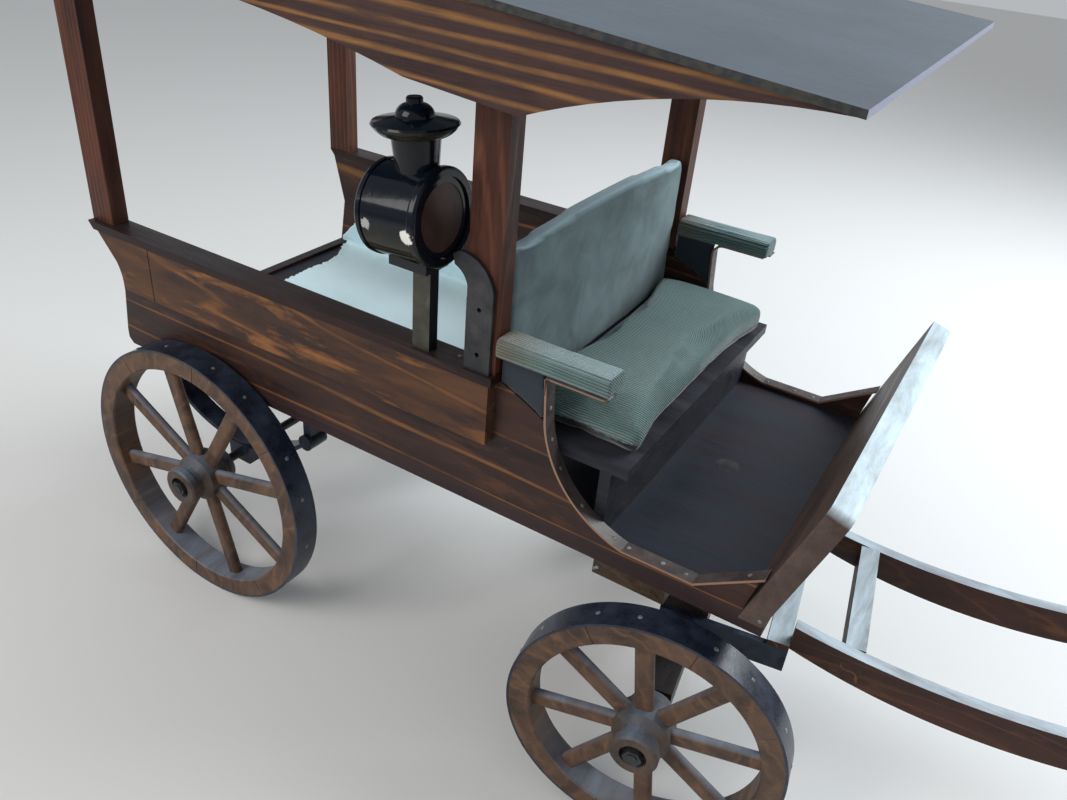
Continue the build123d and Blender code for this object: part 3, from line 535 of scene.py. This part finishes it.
def left_copy(piece, name):
    """A mirrored copy of a right-hand piece, for the left side."""
    pick(piece)
    bpy.ops.object.duplicate()
    copy = bpy.context.object
    copy.name = copy.data.name = name
    bpy.ops.object.mode_set(mode="EDIT")
    bpy.ops.mesh.select_all(action="SELECT")
    bpy.ops.transform.resize(value=(1, -1, 1), center_override=(0, 0, 0))
    bpy.ops.mesh.flip_normals()
    bpy.ops.object.mode_set(mode="OBJECT")
    return copy


def shaped(piece, kind, **settings):
    """Adds a modifier, sets it and applies it."""
    pick(piece)
    modifier = piece.modifiers.new(kind.lower(), kind)
    for key, value in settings.items():
        setattr(modifier, key, value)
    bpy.ops.object.modifier_apply(modifier=modifier.name)


def finished(piece, material, body="body"):
    """Gives a new piece its finish and the body that carries it."""
    piece.data.materials.clear()
    piece.data.materials.append(material)
    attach(piece, body)
    return piece


def planted(name, model, places):
    """Copies of a small piece, its +Z along each direction at each point, joined into one."""
    copies = []
    for point, aim in places:
        copy = model.copy()
        copy.data = model.data.copy()
        bpy.context.collection.objects.link(copy)
        turn = Vector(aim).to_track_quat("Z", "Y").to_matrix().to_4x4()
        copy.matrix_world = Matrix.Translation(point) @ turn
        copies.append(copy)
    bpy.data.objects.remove(model)
    deselect()
    for copy in copies:
        copy.select_set(True)
    bpy.context.view_layer.objects.active = copies[0]
    bpy.ops.object.join()
    bpy.ops.object.transform_apply(location=True, rotation=True, scale=True)
    piece = bpy.context.object
    piece.name = piece.data.name = name
    return piece


# Soft parts

def blown_up(piece, voxel, pressure, most, low, high, share=lambda place: 1.0):
    """Fills a closed cloth form from inside. No point goes further than most or out of its space."""
    shaped(piece, "REMESH", mode="VOXEL", voxel_size=voxel)
    start = [vertex.co.copy() for vertex in piece.data.vertices]
    cloth = piece.modifiers.new("cloth", "CLOTH")
    cloth.settings.use_pressure = True
    cloth.settings.uniform_pressure_force = pressure
    cloth.settings.effector_weights.gravity = 0
    for number in range(1, 21):
        bpy.context.scene.frame_set(number)
    bpy.ops.object.modifier_apply(modifier="cloth")
    bpy.context.scene.frame_set(1)
    for vertex, place in zip(piece.data.vertices, start):
        move = (vertex.co - place) * share(place)
        if move.length > most:
            move *= most / move.length
        for n in range(3):
            vertex.co[n] = min(max(place[n] + move[n], low[n]), high[n])


def seat_pad(material):
    """The seat's cushion, crowned, its cover stopping short of the seat board with a torn hem."""
    pad = new_block("seat_pad", at(356, -150, 354), at(472, 150, 380))
    bpy.ops.object.mode_set(mode="EDIT")
    bpy.ops.mesh.select_all(action="SELECT")
    bpy.ops.mesh.bevel(offset=0.006, segments=3)
    bpy.ops.object.mode_set(mode="OBJECT")
    blown_up(pad, 0.005, 5, 0.011, at(351, -156, 352.2), at(477.5, 156, 393))
    shaped(pad, "SUBSURF", levels=1, render_levels=1)
    pad.data.shade_smooth()
    finished(pad, material)
    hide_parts("seat_cushion")
    return pad


def back_pad(material):
    """The seat's thin padded back with its rolled, arched top."""
    pad = node_copy("back_pad", "seat_back")
    low, high = node_box("seat_back")
    blown_up(pad, 0.0035, 4, 0.0035, low - Vector((0.003, 0.0005, 0)), high + Vector((0.002, 0.0005, 0.004)))
    shaped(pad, "SUBSURF", levels=1, render_levels=1)
    pad.data.shade_smooth()
    finished(pad, material)
    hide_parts("seat_back")
    return pad


def arm_pad(material):
    """The padded armrest over its gusset, ribs lengthwise as real ridges."""
    low, high = node_box("armrest_right")
    under = high.z - 0.016
    pad = node_copy("arm_pad_right", "armrest_right")
    blown_up(pad, 0.0025, 4, 0.0022, low - Vector((0, 0.002, 0)), high + Vector((0.003, 0.0005, 0.003)),
             lambda place: 1.0 if place.z > under + 0.0005 else 0.2)
    for vertex in pad.data.vertices:
        if vertex.co.x > low.x + 0.048:
            vertex.co.z = max(vertex.co.z, under + 0.0002)
    shaped(pad, "SUBSURF", levels=2, render_levels=2)
    pitch = 0.0027
    depth = 0.00035
    for vertex in pad.data.vertices:
        above = vertex.co.z - under
        if above < 0.001 or vertex.normal.x > 0.7:
            continue
        sideways = abs(vertex.normal.y)
        run = above if sideways > 0.7 else 0.016 + (vertex.co.y - low.y)
        fade = 1.0 if sideways > 0.7 else 0.35
        vertex.co += vertex.normal * depth * fade * math.cos(2 * math.pi * run / pitch)
    pad.data.shade_smooth()
    other = left_copy(pad, "arm_pad_left")
    for side, piece in (("right", pad), ("left", other)):
        finished(piece, material)
        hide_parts("armrest_" + side)


lining_cut = (0.392, 0.450)         # across the cart and along it, before its rear edge tore


def lining(material):
    """Thin cotton laid over the load floor and up its walls, its rear edge torn."""
    across, along = 190, 200
    wall = node_box("side_board_left")[0].y - 0.0008
    bend = 0.006
    thick = 0.0011
    bed = 0.414                     # from under the seat to the torn edge
    far_corner = 0.033              # how much further back it reaches by the left wall
    front_x = at(331, 0, 0).x
    deselect()
    bpy.ops.mesh.primitive_grid_add(x_subdivisions=along, y_subdivisions=across, size=1)
    cloth = bpy.context.object
    cloth.name = cloth.data.name = "floor_lining"
    flat_half = wall - bend
    quarter = bend * math.pi / 2
    for vertex in cloth.data.vertices:
        u = vertex.co.y * lining_cut[0]
        tear = 0.5 - vertex.co.x
        side = 1 if u >= 0 else -1
        run = abs(u)
        rag = 0.004 * fractal(Vector((run * 60 * side, 3.1, 0)), 5)
        rag += 0.0035 * fractal(Vector((run * 420 * side, 0, 7)), 3)
        climb = max(0.0, run - flat_half)
        reach = min(max((u - 0.095) / 0.065, 0.0), 1.0)
        length = bed + far_corner * reach * reach - max(0.0, climb - 0.012) * 0.9 + rag
        x = front_x - tear * length
        crease = 0.0011 * fractal(Vector((x * 26, u * 26, 1.7)), 4)
        curl = max(0.0, 1 - (length * (1 - tear)) / 0.014) ** 2
        lift = 0.0030 * curl * (0.4 + fractal(Vector((run * 150 * side, 5, 0)), 3))
        if run <= flat_half:
            place = Vector((x, u, floor_top + thick / 2 + abs(crease) + max(0.0, lift)))
        elif run <= flat_half + quarter:
            angle = (run - flat_half) / bend
            place = Vector((x, side * (flat_half + bend * math.sin(angle)),
                            floor_top + thick / 2 + bend * (1 - math.cos(angle)) + abs(crease)))
        else:
            up = run - flat_half - quarter
            hem = 0.003 * fractal(Vector((x * 40, 9, side)), 4)
            place = Vector((x, side * (wall - thick / 2 - abs(crease) * 0.8),
                            floor_top + bend + up * (1 + hem / 0.03)))
        vertex.co = place
    shaped(cloth, "SOLIDIFY", thickness=thick, offset=0)
    cloth.data.shade_smooth()
    finished(cloth, material)
    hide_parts("floor_cloth")
    return cloth


def fractal(place, octaves):
    """Smooth uneven values about zero, the same in each run."""
    value, share = 0.0, 0.6
    for number in range(octaves):
        value += share * perlin.noise(place * 2 ** number)
        share *= 0.55
    return value


# Fasteners

def nail_model(radius, rise):
    """A domed nail head whose underside lies in z = 0."""
    deselect()
    bpy.ops.mesh.primitive_uv_sphere_add(segments=14, ring_count=8, radius=radius)
    head = bpy.context.object
    bpy.ops.object.mode_set(mode="EDIT")
    bpy.ops.mesh.select_all(action="SELECT")
    bpy.ops.mesh.bisect(plane_co=(0, 0, 0), plane_no=(0, 0, 1), clear_inner=True, use_fill=True)
    bpy.ops.mesh.select_all(action="SELECT")
    bpy.ops.transform.resize(value=(1, 1, rise / radius), center_override=(0, 0, 0))
    bpy.ops.object.mode_set(mode="OBJECT")
    return head


def strap_nails(material):
    """Nails along the strap's face, from behind the armrest down to the front board."""
    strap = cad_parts["footwell_edging_right"]
    eye = at(520, -169, 380)
    # columns: x and z of each nail from the rear axle and the ground, in millimetres
    spots = [(400, 385), (416, 359), (427, 338), (443, 309), (473, 290), (485, 283), (516, 280), (537, 282),
             (584, 310)]
    places = []
    for x, z in spots:
        hit, point, normal, face = strap.ray_cast(eye, at(x, -169, z) - eye)
        if hit:
            places.append((point - normal * 0.0002, normal))
    nails = planted("strap_nails_right", nail_model(0.0020, 0.0009), places)
    nails.data.shade_smooth()
    other = left_copy(nails, "strap_nails_left")
    for piece in (nails, other):
        finished(piece, material)


tyre_nail_count = 16


def tyre_nails(material):
    """Nail heads round each tyre, over the spokes and beside the joints of the rim."""
    draw = random.Random(4)
    for end, turn in (("rear", 14.5), ("front", 8.0)):
        for side in ("right", "left"):
            wheel = f"wheel_{end}_{side}"
            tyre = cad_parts[wheel + "_tyre"]
            centre = middle(wheel + "_tyre")
            low, high = node_box(wheel + "_tyre")
            radius = (high.z - low.z) / 2
            heading = Vector((1, 0, 0))
            if end == "front":
                heading.rotate(Quaternion((0, 0, 1), parked_turn))
            places = []
            for number in range(tyre_nail_count):
                beside_joint = 4 if number % 2 else 0
                angle = turn + 360 / tyre_nail_count * number - beside_joint + draw.uniform(-2.5, 2.5)
                angle = math.radians(angle)
                out = heading * math.cos(angle) + Vector((0, 0, math.sin(angle)))
                places.append((centre + out * (radius - 0.0001), out))
            nails = planted(wheel + "_nails", nail_model(0.0022, 0.0008), places)
            nails.data.shade_smooth()
            finished(nails, material, wheel)


def board_nails(material):
    """Single nails: in the front board's foot, the rail and the bolster's end."""
    # columns: place from the rear axle in millimetres, the way the head faces
    heads = [
        ((602.3, -183, 284.4), (0, -1, 0)), ((315.2, -173.3, 403), (0, 0, 1)),
        ((457.3, -167, 245.7), (0, -1, 0)), ((459.9, -167, 247.7), (0, -1, 0)),
    ]
    places = [(at(*place) - Vector(aim) * 0.0002, aim) for place, aim in heads]
    nails = planted("board_nails_right", nail_model(0.0019, 0.0008), places)
    nails.data.shade_smooth()
    other = left_copy(nails, "board_nails_left")
    for piece in (nails, other):
        finished(piece, material)


def draw_bar_nails(material):
    """One nail in the outer side of each draw bar."""
    turn = Quaternion((0, 0, 1), parked_turn)
    pin = middle("king_pin")
    for side, way in (("right", -1), ("left", 1)):
        reach = Vector((0.0294, way * 0.0898, 0))
        reach.rotate(turn)
        aim = Vector((0, way, 0))
        aim.rotate(turn)
        place = Vector((pin.x + reach.x, reach.y, at(0, 0, 147).z))
        nail = planted("draw_bar_nail_" + side, nail_model(0.0020, 0.0009), [(place, aim)])
        nail.data.shade_smooth()
        finished(nail, material, "fore_carriage")


def strap_end(material):
    """The strap's thin top end, widening as it curls forward close under the armrest."""
    arm_low, arm_high = node_box("armrest_right")
    strap_low, strap_high = node_box("footwell_edging_right")
    rear = at(398, 0, 0).x
    top = strap_high.z - 0.001
    bend = 0.011
    path = [Vector((rear, 0, top - 2 * bend))]
    for number in range(13):
        angle = math.radians(180 - 7.5 * number)
        path.append(Vector((rear + bend * (1 + math.cos(angle)), 0, top - bend * (1 - math.sin(angle)))))
    for number in range(1, 13):
        path.append(Vector((rear + bend + number / 12 * (arm_high.x - rear - bend), 0, top)))
    deselect()
    bpy.ops.mesh.primitive_grid_add(x_subdivisions=len(path) - 1, y_subdivisions=3, size=1)
    tail = bpy.context.object
    tail.name = tail.data.name = "strap_end_right"
    for vertex in tail.data.vertices:
        number = round((vertex.co.x + 0.5) * (len(path) - 1))
        outer = strap_low.y + min(number / 12, 1.0) * (arm_low.y - 0.0012 - strap_low.y)
        share = 0.5 + vertex.co.y
        vertex.co = (path[number].x, outer + share * (strap_low.y + 0.004 - outer), path[number].z)
    shaped(tail, "SOLIDIFY", thickness=0.0011, offset=0)
    tail.data.shade_smooth()
    other = left_copy(tail, "strap_end_left")
    for piece in (tail, other):
        finished(piece, material)


# Studio

def studio_floor():
    """A plain pale floor under the cart."""
    bpy.ops.object.select_all(action="DESELECT")
    bpy.ops.mesh.primitive_grid_add(x_subdivisions=8, y_subdivisions=8, size=14, location=(0, 0, 0))
    plane = bpy.context.object
    plane.name = "studio_floor"
    material, tree, shader = stained("studio_white", 0.75)
    shader.inputs["Base Color"].default_value = colour(0.70, 0.70, 0.69)
    plane.data.materials.append(material)


def soft_light(name, place, aim, size, power, tint=(1, 1, 1)):
    """A large square lamp aimed at a point."""
    data = bpy.data.lights.new(name, "AREA")
    data.shape = "SQUARE"
    data.size = size
    data.energy = power
    data.color = tint
    lamp = bpy.data.objects.new(name, data)
    bpy.context.collection.objects.link(lamp)
    lamp.location = place
    lamp.rotation_euler = (Vector(aim) - Vector(place)).to_track_quat("-Z", "Y").to_euler()


def studio_light():
    """Soft light from a window side in front and to the left, with a weak fill."""
    world = bpy.data.worlds.new("studio_sky")
    world.use_nodes = True
    sky = world.node_tree.nodes["Background"]
    sky.inputs["Color"].default_value = colour(0.93, 0.96, 1.0)
    sky.inputs["Strength"].default_value = 0.50
    bpy.context.scene.world = world
    aim = at(250, 0, 300)
    soft_light("window", at(1500, 1300, 1700), aim, 1.4, 58, (0.90, 0.96, 1.0))
    soft_light("room", at(-500, -1700, 1500), aim, 1.2, 27, (1.0, 0.97, 0.93))


# Camera, solved from the photograph's own circles and edges

def photo_camera():
    frame_px = 1067
    focal_px = 899.0
    azimuth = math.radians(-28.87)      # from +Y, towards +X
    drop = math.radians(31.90)
    roll = math.radians(5.52)
    data = bpy.data.cameras.new("photo_camera")
    data.sensor_width = 36
    data.lens = focal_px / frame_px * data.sensor_width
    data.clip_start = 0.01
    camera = bpy.data.objects.new("photo_camera", data)
    bpy.context.collection.objects.link(camera)
    look = Vector((math.sin(azimuth) * math.cos(drop), math.cos(azimuth) * math.cos(drop), -math.sin(drop)))
    camera.rotation_mode = "QUATERNION"
    camera.rotation_quaternion = look.to_track_quat("-Z", "Y") @ Quaternion((0, 0, 1), roll)
    camera.location = at(678.1, -701.1, 764.3)
    bpy.context.scene.camera = camera


dress_body()
dress_running_gear()
dress_fittings()
studio_floor()
studio_light()
photo_camera()
bpy.context.scene.view_settings.view_transform = "Standard"
